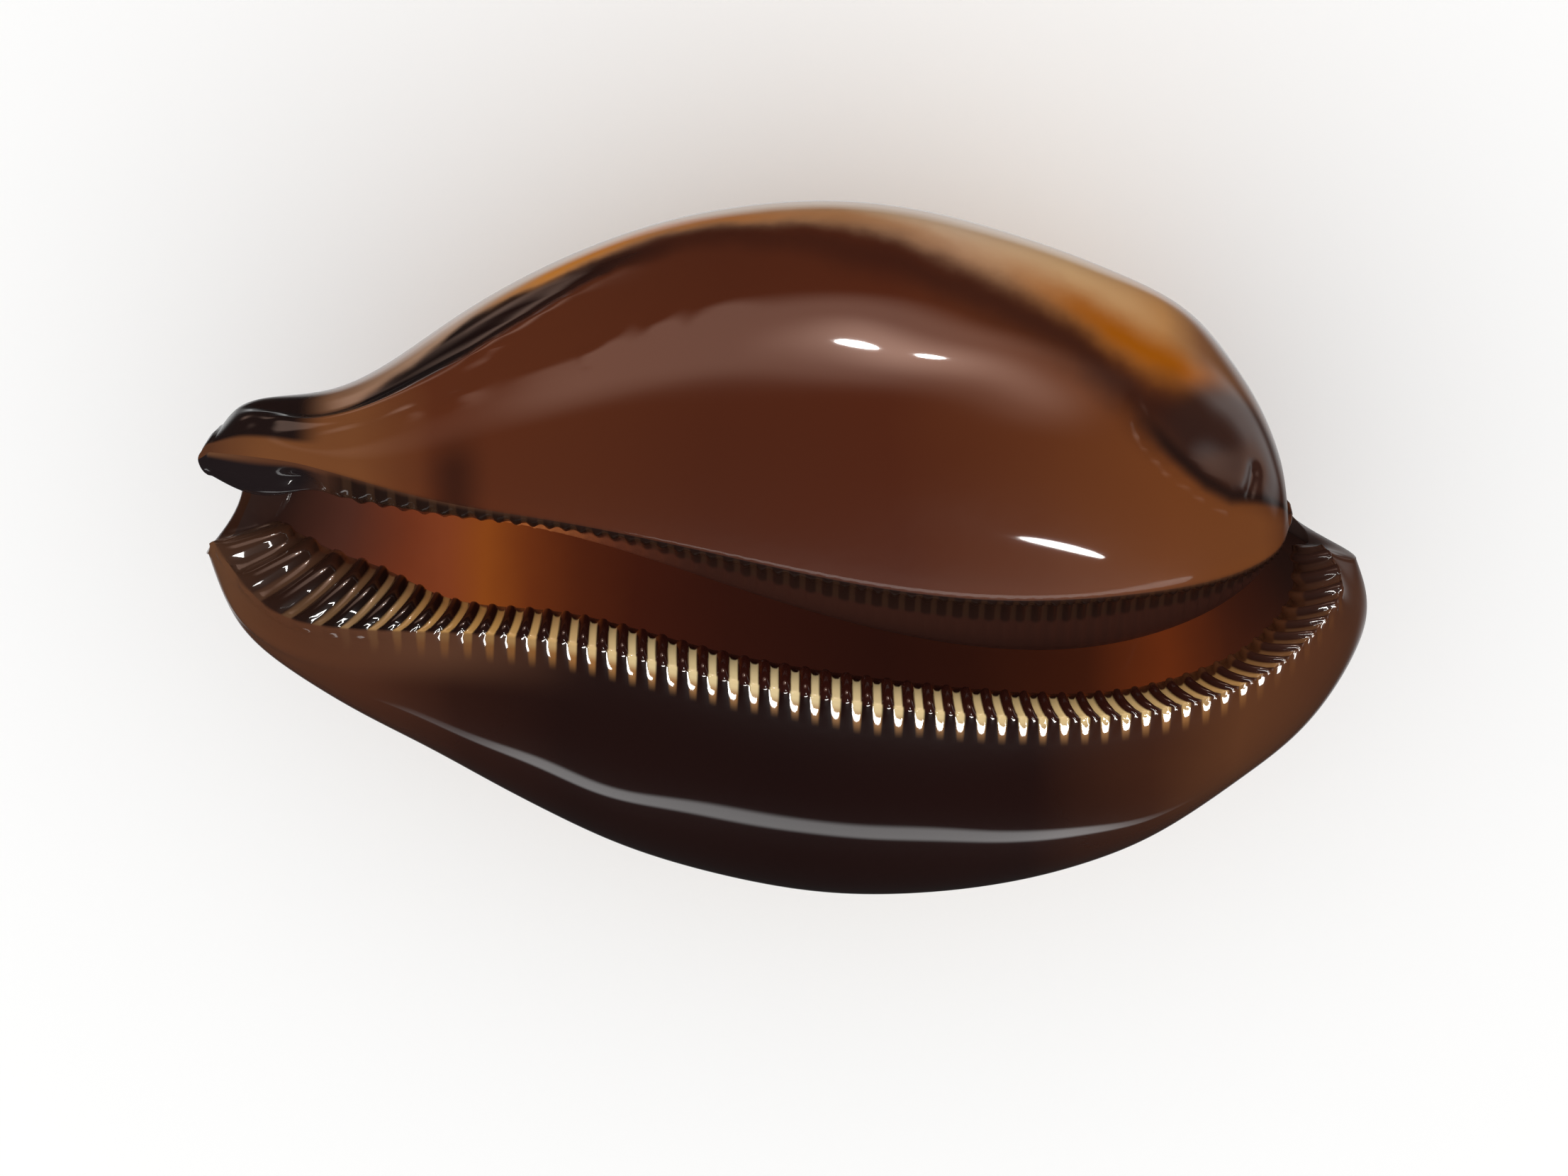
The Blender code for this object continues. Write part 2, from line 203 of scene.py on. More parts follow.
@dataclass(frozen=True)
class Loops:
    """The loops round the shell, and how many rows each stretch of them has."""

    growth: Growth = Growth()
    rows: tuple[int, ...] = (34, 12, 12, 24, 20, 5, 8, 7, 7, 8, 5, 8, 14)
    base_row_power: float = 1.25

    def crest_row(self) -> int:
        """Returns the row of the lip's crest."""
        return sum(self.rows[: Stretch.LIP_FACE])

    def around(self) -> np.ndarray:
        """Returns each row's place round the loop; a stretch takes one unit."""
        parts = [np.zeros(1)]
        parts += [k + np.arange(1, count + 1) / count for k, count in enumerate(self.rows)]
        return np.concatenate(parts)

    def quarter(
        self,
        start: Points,
        end: Points,
        stretch: Stretch,
        leaves_flat: bool,
        power: float = 1.0,
        slant: bool = False,
    ) -> list[Points]:
        """Returns the rows of a quarter ellipse from start to end, without its start.

        Args:
            start: The first points, one for each loop.
            end: The last points.
            stretch: The stretch that the rows belong to.
            leaves_flat: Whether it leaves start along the mouth's plane and meets end upright.
            power: Over 1, it draws the rows towards the flat end.
            slant: Whether the rows run straight from start to end along the shell.

        Returns:
            The points of the rows.
        """
        rows = []
        for share in np.linspace(0, 1, self.rows[stretch] + 1)[1:]:
            share = share**power if leaves_flat else 1 - (1 - share) ** power
            sine = math.sin(share * math.pi / 2)
            rise = 1 - math.cos(share * math.pi / 2)
            across, up = (sine, rise) if leaves_flat else (rise, sine)
            along = sine if slant else sine**2
            rows.append(start + (end - start) * np.array([along, across, up]))
        return rows

    def slope(self, start: Points, end: Points, stretch: Stretch) -> list[Points]:
        """Returns the rows of an S-shaped slope from start to end, without its start."""
        rows = []
        for share in np.linspace(0, 1, self.rows[stretch] + 1)[1:]:
            across = (1 - math.cos(share * math.pi)) / 2
            rows.append(start + (end - start) * np.array([share, across, share]))
        return rows

    def points(self, w: np.ndarray) -> Points:
        """Returns the smooth shell's points, with the first row again as the last one.

        Args:
            w: The places of the loops along the shell.

        Returns:
            The points in millimetres, as [loop, row, xyz].
        """
        g = self.growth
        columella, lip, back = (g.line(rail, w) for rail in (g.columella, g.lip, g.back))
        near, far = g.line(g.near, w), g.line(g.far, w)
        wall, undercut = g.size(g.wall, w), g.size(g.undercut, w)
        swelling = g.size(g.swelling, w)
        lip_foot = lip + shift(w, g.size(g.lip_slant, w), g.size(g.lip_reach, w), -g.size(g.lip_drop, w))
        lip_root = lip_foot + shift(w, y=-0.45 * undercut, z=-0.3 * undercut - 0.3)
        foot = columella + shift(w, y=-g.size(g.columella_reach, w), z=-g.size(g.columella_drop, w))
        swelling_foot = foot + shift(w, y=-swelling, z=-1.2 - 0.8 * swelling)
        root = swelling_foot + shift(w, y=0.45 * undercut + swelling, z=-0.3 * (undercut + swelling) - 0.3)
        setback = g.size(g.hollow_end, w)
        far_inside = inner_side(far, lip_root, back, wall, -1) + shift(w, x=setback)
        near_inside = inner_side(near, root, back, wall, 1) + shift(w, x=setback)
        floor = back + shift(w, x=setback, z=wall)
        power = self.base_row_power
        rows = [columella]
        rows += self.quarter(columella, near, Stretch.COLUMELLAR_BASE, True, power)
        rows += self.quarter(near, back, Stretch.COLUMELLAR_BACK, False)
        rows += self.quarter(back, far, Stretch.LABRAL_BACK, True)
        rows += self.quarter(far, lip, Stretch.LABRAL_BASE, False, power)
        rows += self.quarter(lip, lip_foot, Stretch.LIP_FACE, True, slant=True)
        rows += self.quarter(lip_foot, lip_root, Stretch.LIP_UNDERSIDE, False)
        rows += self.quarter(lip_root, far_inside, Stretch.LABRAL_WALL, True)
        rows += self.quarter(far_inside, floor, Stretch.LABRAL_FLOOR, False)
        rows += self.quarter(floor, near_inside, Stretch.COLUMELLAR_FLOOR, True)
        rows += self.quarter(near_inside, root, Stretch.COLUMELLAR_WALL, False)
        rows += self.quarter(root, swelling_foot, Stretch.COLUMELLA_UNDERSIDE, True)
        rows += self.slope(swelling_foot, foot, Stretch.COLUMELLA_SWELLING)
        rows += self.quarter(foot, columella, Stretch.COLUMELLA_FACE, False)
        return np.stack(rows, axis=1)


def shift(w: np.ndarray, x: Any = 0.0, y: Any = 0.0, z: Any = 0.0) -> Points:
    """Returns one offset for each loop at w."""
    return np.stack([np.zeros_like(w) + value for value in (x, y, z)], axis=1)


def inner_side(side: Points, underside: Points, back: Points, wall: np.ndarray, sign: int) -> Points:
    """Returns the widest points of the hollow on one side of the shell.

    Args:
        side: The widest points outside.
        underside: The inner edge of the lip's underside.
        back: The points of the back.
        wall: The thickness of the wall.
        sign: 1 for the columellar side, -1 for the labral side.

    Returns:
        One point for each loop.
    """
    points = side + shift(wall, y=-1.35 * sign * wall)
    points[:, 1] = sign * np.maximum(sign * points[:, 1], sign * underside[:, 1] + 0.2)
    points[:, 2] = np.minimum(points[:, 2], underside[:, 2] - 0.4)
    points[:, 0] += 0.35 * (back[:, 0] - points[:, 0])
    return points


@dataclass(frozen=True)
class Sheet:
    """The smooth shell and the coordinates that follow it, in millimetres.

    Attributes:
        w: The place of every loop along the shell.
        around: Each row's place round the loop.
        points: The smooth points, as [loop, row, xyz].
        length: Each point's distance from the start of its loop.
        lip: Each point's distance from the lip's crest, inwards.
        columella: Each point's distance from the columella's crest, inwards.
    """

    w: np.ndarray
    around: np.ndarray
    points: Points
    length: np.ndarray
    lip: np.ndarray
    columella: np.ndarray

    @classmethod
    def through(cls, loops: Loops, w: np.ndarray) -> "Sheet":
        """Returns the sheet through the loops at the places w."""
        points = loops.points(w)
        steps = np.linalg.norm(np.diff(points, axis=1), axis=2)
        length = np.concatenate([np.zeros((len(w), 1)), np.cumsum(steps, axis=1)], axis=1)
        crest = loops.crest_row()
        inside = np.arange(length.shape[1]) > crest
        columella = np.where(inside, length[:, -1:] - length, -length)
        return cls(w, loops.around(), points, length, length - length[:, [crest]], columella)

    def past(self, line_along: Sequence[float], line_around: Sequence[float]) -> np.ndarray:
        """Returns each point's distance round the loop from a line along the shell."""
        line = np.interp(self.w, line_along, line_around)
        at_line = [np.interp(place, self.around, row) for place, row in zip(line, self.length)]
        return self.length - np.array(at_line)[:, None]


@dataclass(frozen=True)
class Teeth:
    """The teeth of both sides of the mouth."""

    count: int = 58
    columns_each: int = 9
    ridge_place: float = 0.375
    ridge_flatness: float = 1.5
    jitter: float = 0.035
    strength: Pair = (0.88, 1.12)
    lip_height: float = 0.26
    lip_end_share: float = 0.4
    lip_run_out: Pair = (-0.8, -0.35)
    lip_rise: Pair = (0.0, 0.7)
    columella_height: float = 0.14
    columella_share: float = 1.22
    columella_span: Pair = (0.125, 0.985)
    knob_height: float = 0.03
    nodule_gap: float = 1.05
    fade: float = 0.02
    seed: int = 7

    def columns(self, growth: Growth) -> np.ndarray:
        """Returns the place of every loop, so that each tooth has its share of the lip's crest."""
        w = np.linspace(0, 1, 2001)
        steps = np.linalg.norm(np.diff(growth.line(growth.lip, w), axis=0), axis=1)
        teeth = np.concatenate([[0], np.cumsum(steps / growth.size(growth.tooth_pitch, w[1:]))])
        count = self.count * self.columns_each + 1
        return np.interp(np.linspace(0, teeth[-1], count), teeth, w)

    def by_tooth(self, values: np.ndarray) -> np.ndarray:
        """Returns a value at each loop, from one value for each tooth."""
        return np.interp(self.places(), np.arange(self.count + 2), values)

    def places(self) -> np.ndarray:
        """Returns each loop's place counted in teeth."""
        return np.arange(self.count * self.columns_each + 1) / self.columns_each

    def numbers(self) -> np.ndarray:
        """Returns each loop's place counted in teeth, with a small sway from tooth to tooth."""
        sway = np.random.default_rng(self.seed).uniform(-1, 1, self.count + 2) * self.jitter
        return self.places() + self.by_tooth(sway)

    def heights(self, sheet: Sheet, lip_row: int, columella_row: int) -> np.ndarray:
        """Returns how far the teeth raise the surface.

        Args:
            sheet: The smooth shell.
            lip_row: The row where the lip's teeth end.
            columella_row: The row where the columella's teeth end.

        Returns:
            The heights in millimetres, as [loop, row].
        """
        lip, columella = sheet.lip, sheet.columella
        lip_face, columella_face = lip[:, [lip_row]], columella[:, [columella_row]]
        turn = 2 * np.pi * (self.numbers() - self.ridge_place)
        wave = np.tanh(self.ridge_flatness * np.cos(turn)) / math.tanh(self.ridge_flatness)
        strength = np.random.default_rng(self.seed + 1).uniform(*self.strength, self.count + 2)
        wave = (wave * self.by_tooth(strength))[:, None]
        low_end = self.lip_end_share * smooth_step(lip, *self.lip_run_out)
        on_lip = low_end + (1 - self.lip_end_share) * smooth_step(lip, *self.lip_rise)
        on_lip = on_lip * smooth_step(lip - lip_face, 0.3, -0.1)
        knobs = np.cos(2 * turn)[:, None] * hump(lip, -0.05, 0.4)
        first, last = self.columella_span
        ends = smooth_step(np.minimum(sheet.w - first, last - sheet.w), 0, self.fade)[:, None]
        fine = np.cos(2 * np.pi * self.columella_share * self.numbers())[:, None]
        nodules = 0.7 + 0.3 * np.cos(2 * np.pi * (columella_face - columella - 0.3) / self.nodule_gap)
        on_columella = smooth_step(columella, 0.05, 0.45)
        on_columella = on_columella * smooth_step(columella - columella_face, 0.15, -0.25)
        return (
            self.lip_height * wave * on_lip
            + self.knob_height * knobs
            + self.columella_height * fine * nodules * on_columella * ends
        )


@dataclass(frozen=True)
class Pit:
    """A shallow pit of the surface: its middle, radii and depth in millimetres."""

    middle: Triple
    radii: Triple
    depth: float


@dataclass(frozen=True)
class Relief:
    """The low forms of the outside: pits, the lip's gutter, the callus's fold and crease, and waves."""

    pits: tuple[Pit, ...] = (
        Pit((28.8, 10.6, 11.4), (4.2, 2.4, 3.0), 0.8),
        Pit((-31.2, 7.4, 10.0), (2.2, 1.4, 1.6), 0.6),
        Pit((-33.6, 11.2, 7.6), (2.2, 1.3, 1.5), -0.45),
        Pit((-33.9, 11.0, 8.2), (1.0, 0.7, 0.8), 0.3),
        Pit((-31.4, 7.6, 10.3), (1.7, 1.0, 0.9), 0.5),
    )
    gutter_place: float = -1.2
    gutter_width: float = 0.65
    gutter_depth: float = 0.4
    gutter_rim: float = 0.2
    gutter_end: float = 0.21
    fold_along: Series = (0, 0.05, 0.13, 0.18, 0.23, 0.27, 0.32, 0.37, 0.45, 1)
    fold_around: Series = (0.6, 0.6, 0.64, 0.65, 0.67, 0.71, 0.76, 0.82, 0.88, 0.9)
    fold_height: float = 0.3
    fold_width: float = 0.5
    furrow_depth: float = 0.5
    furrow_place: float = 2.2
    furrow_width: float = 1.1
    crease_along: Series = (0, 0.09, 0.17, 0.26, 0.33, 0.38, 0.44, 0.50, 0.58, 1)
    crease_around: Series = (0.45, 0.48, 0.535, 0.53, 0.55, 0.61, 0.66, 0.68, 0.70, 0.7)
    crease_height: float = 0.2
    crease_width: float = 0.4
    wave_height: float = 0.035
    pit_fold: tuple[Triple, ...] = (
        (22.6, 12.6, 12.6), (23.2, 11.5, 13.0), (24.9, 9.6, 13.3), (27.3, 7.7, 13.1), (28.8, 6.7, 12.6),
        (30.0, 7.2, 11.6), (30.6, 8.6, 10.4),
    )
    pit_fold_depth: float = 0.32
    pit_fold_width: float = 0.45

    def heights(self, sheet: Sheet) -> np.ndarray:
        """Returns how far these forms raise the smooth shell, in millimetres, as [loop, row]."""
        points, lip, along = sheet.points, sheet.lip, sheet.w[:, None]
        height = np.zeros(lip.shape)
        for pit in self.pits:
            distance = ((points - np.array(pit.middle)) / np.array(pit.radii)) ** 2
            height -= pit.depth * np.exp(-distance.sum(axis=2))
        gutter_ends = smooth_step(along, 0.015, 0.05) * smooth_step(along, self.gutter_end, 0.15)
        height -= self.gutter_depth * gutter_ends * hump(lip, self.gutter_place, self.gutter_width)
        height += self.gutter_rim * gutter_ends * hump(lip, 2.2 * self.gutter_place, self.gutter_width)
        past = sheet.past(self.fold_along, self.fold_around)
        crease = sheet.past(self.crease_along, self.crease_around)
        fold_ends = smooth_step(along, 0.03, 0.08) * smooth_step(along, 0.42, 0.26)
        uneven = 1 + 0.35 * np.sin(61 * along + 1.5 * np.sin(23 * along))
        height += self.fold_height * uneven * fold_ends * hump(past, 0, self.fold_width)
        height -= self.furrow_depth * fold_ends * hump(past, self.furrow_place, self.furrow_width)
        crease_ends = smooth_step(along, 0.10, 0.15) * smooth_step(along, 0.56, 0.46)
        broken = 0.5 + 0.5 * np.sin(83 * along + 2.0 * np.sin(31 * along))
        height += self.crease_height * broken * crease_ends * hump(crease, 0, self.crease_width)
        outside = smooth_step(sheet.around, 0.03, 0.25) * smooth_step(sheet.around, 3.9, 3.6)
        columellar = smooth_step(sheet.around, 1.6, 1.2)
        fold = hump(distance_to_line(points, self.pit_fold), 0, self.pit_fold_width)
        height -= self.pit_fold_depth * columellar * fold
        return height + self.wave_height * outside * self.waves(points)

    def waves(self, points: Points) -> np.ndarray:
        """Returns slow waves of the surface, from -1 to 1, that bend its reflections a little."""
        x, y, z = points[..., 0], points[..., 1], points[..., 2]
        total = np.sin(0.55 * x + 0.31 * y + 1.3 * np.sin(0.17 * y + 0.4))
        total += np.sin(0.83 * y - 0.42 * z + 0.9 * np.sin(0.29 * x))
        total += np.sin(0.37 * x - 0.66 * y + 0.51 * z + 2.1)
        return total / 3


def distance_to_line(points: Points, corners: Sequence[Triple]) -> np.ndarray:
    """Returns each point's distance from a line through the corners."""
    nearest = np.full(points.shape[:-1], np.inf)
    for start, end in zip(corners, corners[1:]):
        start, run = np.array(start), np.array(end) - np.array(start)
        share = np.clip(((points - start) @ run) / (run @ run), 0, 1)
        gap = np.linalg.norm(points - start - share[..., None] * run, axis=-1)
        nearest = np.minimum(nearest, gap)
    return nearest


def math_node(operation: str, swapped: bool = False) -> Callable[..., "Socket"]:
    """Returns a method of Socket that works out its result in a Math node.

    Args:
        operation: What the node does.
        swapped: Whether the socket comes after the method's argument.

    Returns:
        The method.
    """

    def method(self: "Socket", *others: Any) -> "Socket":
        """Returns the result."""
        values = (*others, self) if swapped else (self, *others)
        return self.graph.node("ShaderNodeMath", {"operation": operation}, dict(enumerate(values)))

    return method


class Socket:
    """A number in a shader: an output of a node, with Python's operators for its maths."""

    __add__ = __radd__ = math_node("ADD")
    __sub__ = math_node("SUBTRACT")
    __rsub__ = math_node("SUBTRACT", swapped=True)
    __mul__ = __rmul__ = math_node("MULTIPLY")
    __truediv__ = math_node("DIVIDE")
    __abs__ = math_node("ABSOLUTE")
    cosine = math_node("COSINE")
    highest = math_node("MAXIMUM")

    def __init__(self, graph: "Graph", output: Any) -> None:
        """Keeps the graph and the output."""
        self.graph = graph
        self.output = output

    def step(self, low: Any, high: Any) -> "Socket":
        """Returns a soft step that is 0 where self is low and 1 where it is high."""
        inputs = {"Value": self, "From Min": low, "From Max": high}
        settings = {"interpolation_type": "SMOOTHSTEP"}
        return self.graph.node("ShaderNodeMapRange", settings, inputs)

    def near(self, middle: Any, width: Any) -> "Socket":
        """Returns 1 where self is at the middle, and softly less up to a width away."""
        return 1 - (abs(self - middle) / width).step(0, 1)


class Graph:
    """The nodes and links of a material or of the world."""

    def __init__(self, owner: Any, surface: str) -> None:
        """Turns on the owner's nodes.

        Args:
            owner: The new material or world.
            surface: The name of its surface or background node.
        """
        self.owner = owner
        self.owner.use_nodes = True
        self.tree = self.owner.node_tree
        self.surface = self.tree.nodes[surface]

    @classmethod
    def for_material(cls, name: str) -> "Graph":
        """Returns the graph of a new material with a Principled surface."""
        return cls(bpy.data.materials.new(name), "Principled BSDF")

    def node(self, kind: str, settings: dict[str, Any], inputs: dict[Any, Any], output: Any = 0) -> Socket:
        """Adds one node.

        Args:
            kind: The node's type.
            settings: Its properties, which are set before its sockets.
            inputs: The value or link of each named or numbered socket.
            output: The name or number of the output that is returned.

        Returns:
            The output.
        """
        node = self.tree.nodes.new(kind)
        for key, value in settings.items():
            setattr(node, key, value)
        for key, value in inputs.items():
            if isinstance(value, Socket):
                self.tree.links.new(value.output, node.inputs[key])
            else:
                node.inputs[key].default_value = value
        return Socket(self, node.outputs[output])

    def _ramp(self, value: Socket, stops: Sequence[tuple[float, Any]]) -> Socket:
        """Returns the colour of a colour ramp; its stops hold colours as light."""
        result = self.node("ShaderNodeValToRGB", {}, {"Fac": value}, "Color")
        elements = result.output.node.color_ramp.elements
        while len(elements) < len(stops):
            elements.new(1)
        for element, (place, colour) in zip(elements, stops):
            element.position = place
            element.color = (*colour, 1)
        return result

    def ramp(self, value: Socket, stops: Stops) -> Socket:
        """Returns a colour that follows a value; the stops hold colours as seen, from 0 to 255."""
        return self._ramp(value, [(place, linear(*colour)) for place, colour in stops])

    def track(self, value: Socket, stops: Track) -> Socket:
        """Returns a number from 0 to 1 that follows a value."""
        return self._ramp(value, [(place, (level, level, level)) for place, level in stops])

    def mix(self, share: Any, first: Any, second: Any) -> Socket:
        """Returns a colour between two colours."""
        inputs = {0: share, 6: first, 7: second}
        return self.node("ShaderNodeMix", {"data_type": "RGBA"}, inputs, 2)

    def tint(self, share: Any, colour: Any, seen: Seen) -> Socket:
        """Returns a colour mixed with one as it is seen, from 0 to 255."""
        return self.mix(share, colour, (*linear(*seen), 1))

    def noise(self, place: Socket, scale: float, detail: float = 2.0) -> Socket:
        """Returns soft noise from about 0 to 1."""
        inputs = {"Vector": place, "Scale": scale, "Detail": detail}
        return self.node("ShaderNodeTexNoise", {}, inputs, "Fac")

    def surface_map(self, kind: SurfaceMap) -> tuple[Socket, Socket]:
        """Returns the two coordinates of one of the surface's maps."""
        place = self.node("ShaderNodeUVMap", {"uv_map": kind.value}, {})
        return self.part(place, "X"), self.part(place, "Y")

    def part(self, vector: Socket, axis: str) -> Socket:
        """Returns one part of a vector."""
        return self.node("ShaderNodeSeparateXYZ", {}, {0: vector}, axis)

    def connect(self, name: str, value: Socket) -> None:
        """Links a value to one of the surface's sockets."""
        self.tree.links.new(value.output, self.surface.inputs[name])


def linear(red: float, green: float, blue: float) -> Triple:
    """Returns a colour as light, from a colour as it is seen, from 0 to 255."""
    parts = []
    for part in (red, green, blue):
        share = part / 255
        parts.append(share / 12.92 if share <= 0.04045 else ((share + 0.055) / 1.055) ** 2.4)
    return parts[0], parts[1], parts[2]


@dataclass(frozen=True)
class Where:
    """The coordinates of a point of the shell, as sockets of one material.

    Growth and around are the place along the shell and round the loop; along is growth with a soft
    drift. Number counts the teeth. Lip and columella are the distances from the crests, inwards.
    """

    place: Socket
    growth: Socket
    along: Socket
    around: Socket
    number: Socket
    lip: Socket
    columella: Socket
    wander: Socket

    @classmethod
    def on(cls, graph: Graph) -> "Where":
        """Returns the coordinates in a material."""
        place = graph.node("ShaderNodeTexCoord", {}, {}, "Object")
        growth, around = graph.surface_map(SurfaceMap.GROWTH)
        number, lip = graph.surface_map(SurfaceMap.LIP)
        columella = graph.surface_map(SurfaceMap.COLUMELLA)[1]
        along = growth + (graph.noise(place, 110, 3) - 0.5) * 0.05
        return cls(place, growth, along, around, number, lip, columella, graph.noise(place, 190, 4))


@dataclass(frozen=True)
class ShellFinish:
    """The glossy brown finish of the shell, with its teeth, bands and a glow painted into its inside.

    Stops and tracks run along the shell, from the front canal to the spire end. The lines among the
    tracks give a place round the loop, and the feet give a distance from the crest in centimetres.
    """

    name: str = "glossy_cowrie_brown"
    under_gloss: float = 0.32
    under_gloss_level: float = 0.04
    coat: float = 0.9
    coat_roughness: float = 0.04
    columella_share: float = 1.22
    columellar_base: Stops = (
        (0.0, (84, 50, 32)), (0.06, (112, 68, 38)), (0.15, (112, 66, 36)), (0.21, (88, 42, 22)),
        (0.3, (84, 40, 21)), (0.45, (76, 34, 18)), (0.6, (78, 34, 17)), (0.72, (92, 46, 23)),
        (0.84, (108, 58, 27)), (0.94, (110, 62, 30)), (1.0, (84, 46, 26)),
    )
    labral_base: Stops = (
        (0.0, (100, 66, 44)), (0.07, (88, 52, 33)), (0.14, (74, 40, 25)), (0.22, (46, 22, 15)),
        (0.32, (32, 14, 11)), (0.5, (28, 11, 9)), (0.7, (32, 13, 10)), (0.8, (62, 32, 19)),
        (0.88, (92, 54, 31)), (0.95, (84, 48, 29)), (1.0, (66, 40, 29)),
    )
    back: Stops = (
        (0.0, (50, 26, 16)), (0.1, (104, 66, 42)), (0.22, (176, 142, 116)), (0.4, (184, 152, 120)),
        (0.55, (186, 150, 114)), (0.66, (204, 172, 140)), (0.76, (200, 160, 114)),
        (0.83, (176, 126, 76)), (0.87, (124, 82, 52)), (0.9, (104, 66, 40)), (0.96, (84, 54, 40)),
        (1.0, (52, 30, 22)),
    )
    # Partly painted light: the inside's brown is lighter at 0.18 to 0.26 and 0.74 to 0.84 along, where the
    # painted glow is, and darker at both ends.
    hollow: Stops = (
        (0.0, (44, 30, 26)), (0.1, (84, 56, 44)), (0.18, (170, 108, 74)), (0.26, (180, 112, 62)),
        (0.36, (110, 60, 40)), (0.6, (84, 46, 34)), (0.74, (120, 66, 40)), (0.84, (150, 84, 46)),
        (0.92, (90, 54, 38)), (1.0, (44, 30, 26)),
    )
    # Painted glow: emission along the hollow, lighter where light would come through the thin wall; the
    # shell is no lamp.
    painted_glow: Stops = (
        (0.0, (16, 10, 9)), (0.09, (66, 36, 28)), (0.15, (88, 38, 20)), (0.19, (102, 47, 22)),
        (0.225, (114, 57, 14)), (0.265, (76, 31, 11)), (0.31, (54, 20, 10)), (0.37, (46, 18, 11)),
        (0.45, (34, 14, 10)), (0.68, (26, 11, 8)), (0.78, (38, 16, 9)), (0.845, (84, 35, 13)),
        (0.9, (50, 22, 13)), (0.96, (22, 14, 12)), (1.0, (14, 10, 9)),
    )
    # Partly painted light: the amber is partly the shell's colour, partly a painted glow of light through
    # the thin edge.
    amber: Stops = ((0.3, (196, 122, 36)), (0.45, (176, 100, 24)), (0.6, (150, 80, 3)))
    tooth_ridge: Stops = (
        (0.0, (74, 48, 34)), (0.06, (44, 25, 18)), (0.13, (24, 12, 9)), (0.5, (46, 16, 11)),
        (0.85, (46, 19, 13)), (0.94, (58, 33, 25)), (1.0, (50, 30, 24)),
    )
    tooth_gap: Stops = (
        (0.0, (56, 38, 30)), (0.05, (76, 50, 36)), (0.1, (110, 80, 54)), (0.135, (158, 124, 84)),
        (0.17, (178, 134, 80)), (0.25, (192, 146, 84)), (0.32, (208, 170, 114)),
        (0.38, (228, 202, 150)), (0.5, (232, 208, 158)), (0.78, (226, 194, 136)),
        (0.87, (190, 144, 86)), (0.92, (130, 88, 54)), (0.97, (84, 52, 36)), (1.0, (60, 38, 30)),
    )
    base_edge_line: Track = (
        (0.0, 0.74), (0.18, 0.8), (0.28, 0.9), (0.4, 0.97), (0.52, 0.93), (0.62, 0.86),
        (0.72, 0.78), (0.8, 0.68), (0.86, 0.62), (0.92, 0.66), (1.0, 0.8),
    )
    amber_share: Track = (
        (0.24, 0.0), (0.3, 0.95), (0.42, 0.95), (0.5, 0.5), (0.7, 0.3), (0.76, 0.9), (0.79, 1.0),
        (0.85, 1.0), (0.89, 0.3), (1.0, 0.0),
    )
    amber_width: Track = ((0.6, 0.08), (0.78, 0.14), (1.0, 0.1))
    smoke_line: Track = (
        (0.0, 0.7), (0.05, 0.72), (0.18, 0.79), (0.26, 0.84), (0.36, 0.89), (0.46, 0.89), (0.55, 0.81),
        (0.64, 0.76), (0.7, 0.73), (0.75, 0.68), (0.82, 0.55), (0.9, 0.52), (1.0, 0.5),
    )
    smoke_width: Track = (
        (0.0, 0.14), (0.15, 0.12), (0.3, 0.08), (0.5, 0.09), (0.65, 0.12), (0.8, 0.14), (0.9, 0.22),
        (1.0, 0.3),
    )
    smoke_share: Track = (
        (0.3, 1.0), (0.42, 0.5), (0.5, 0.45), (0.6, 0.6), (0.75, 0.8), (0.87, 0.95), (1.0, 0.7),
    )
    stripe_width: Track = ((0.0, 0.11), (0.24, 0.13), (0.34, 0.075))
    stripe_share: Track = ((0.22, 1.0), (0.34, 0.6), (0.42, 0.0))
    pit_fold_line: Track = (
        (0.78, 0.56), (0.82, 0.47), (0.845, 0.41), (0.875, 0.345), (0.9, 0.32), (0.94, 0.37),
        (1.0, 0.45),
    )
    pit_top_line: Track = ((0.8, 0.48), (0.84, 0.58), (0.88, 0.72), (0.93, 0.86), (1.0, 0.92))
    lip_foot: Track = ((0.0, 0.52), (0.1, 0.62), (0.16, 0.5), (0.25, 0.29), (0.5, 0.24), (1.0, 0.26))
    columella_foot: Track = (
        (0.0, 0.25), (0.11, 0.3), (0.19, 0.24), (0.31, 0.24), (0.44, 0.36), (0.57, 0.46),
        (0.75, 0.5), (0.88, 0.42), (1.0, 0.2),
    )
    streak_share: Track = ((0.1, 0.0), (0.22, 0.3), (0.34, 0.9), (0.82, 0.9), (0.9, 0.1))
    band: Seen = (120, 72, 40)
    smoke: Seen = (46, 20, 14)
    stripe: Seen = (22, 12, 11)
    # Painted sheen: a lighter brown along the lip's outer margin.
    margin_sheen: Seen = (104, 68, 48)
    # Painted shade inside the pit near the spire end.
    pit: Seen = (50, 29, 23)
    spot: Seen = (40, 18, 12)
    boss: Seen = (30, 19, 17)
    # Painted shade: dark blue-grey for the columella's face under the front beak.
    canal: Seen = (32, 24, 25)
    swelling: Seen = (60, 33, 25)
    # Painted glow on the columella's swelling, dimmer than the rest of the inside.
    swelling_painted_glow: Seen = (20, 10, 8)
    gap_below_crest: Seen = (150, 96, 44)
    fine_ridge: Seen = (34, 20, 15)
    fine_gap: Seen = (58, 38, 26)

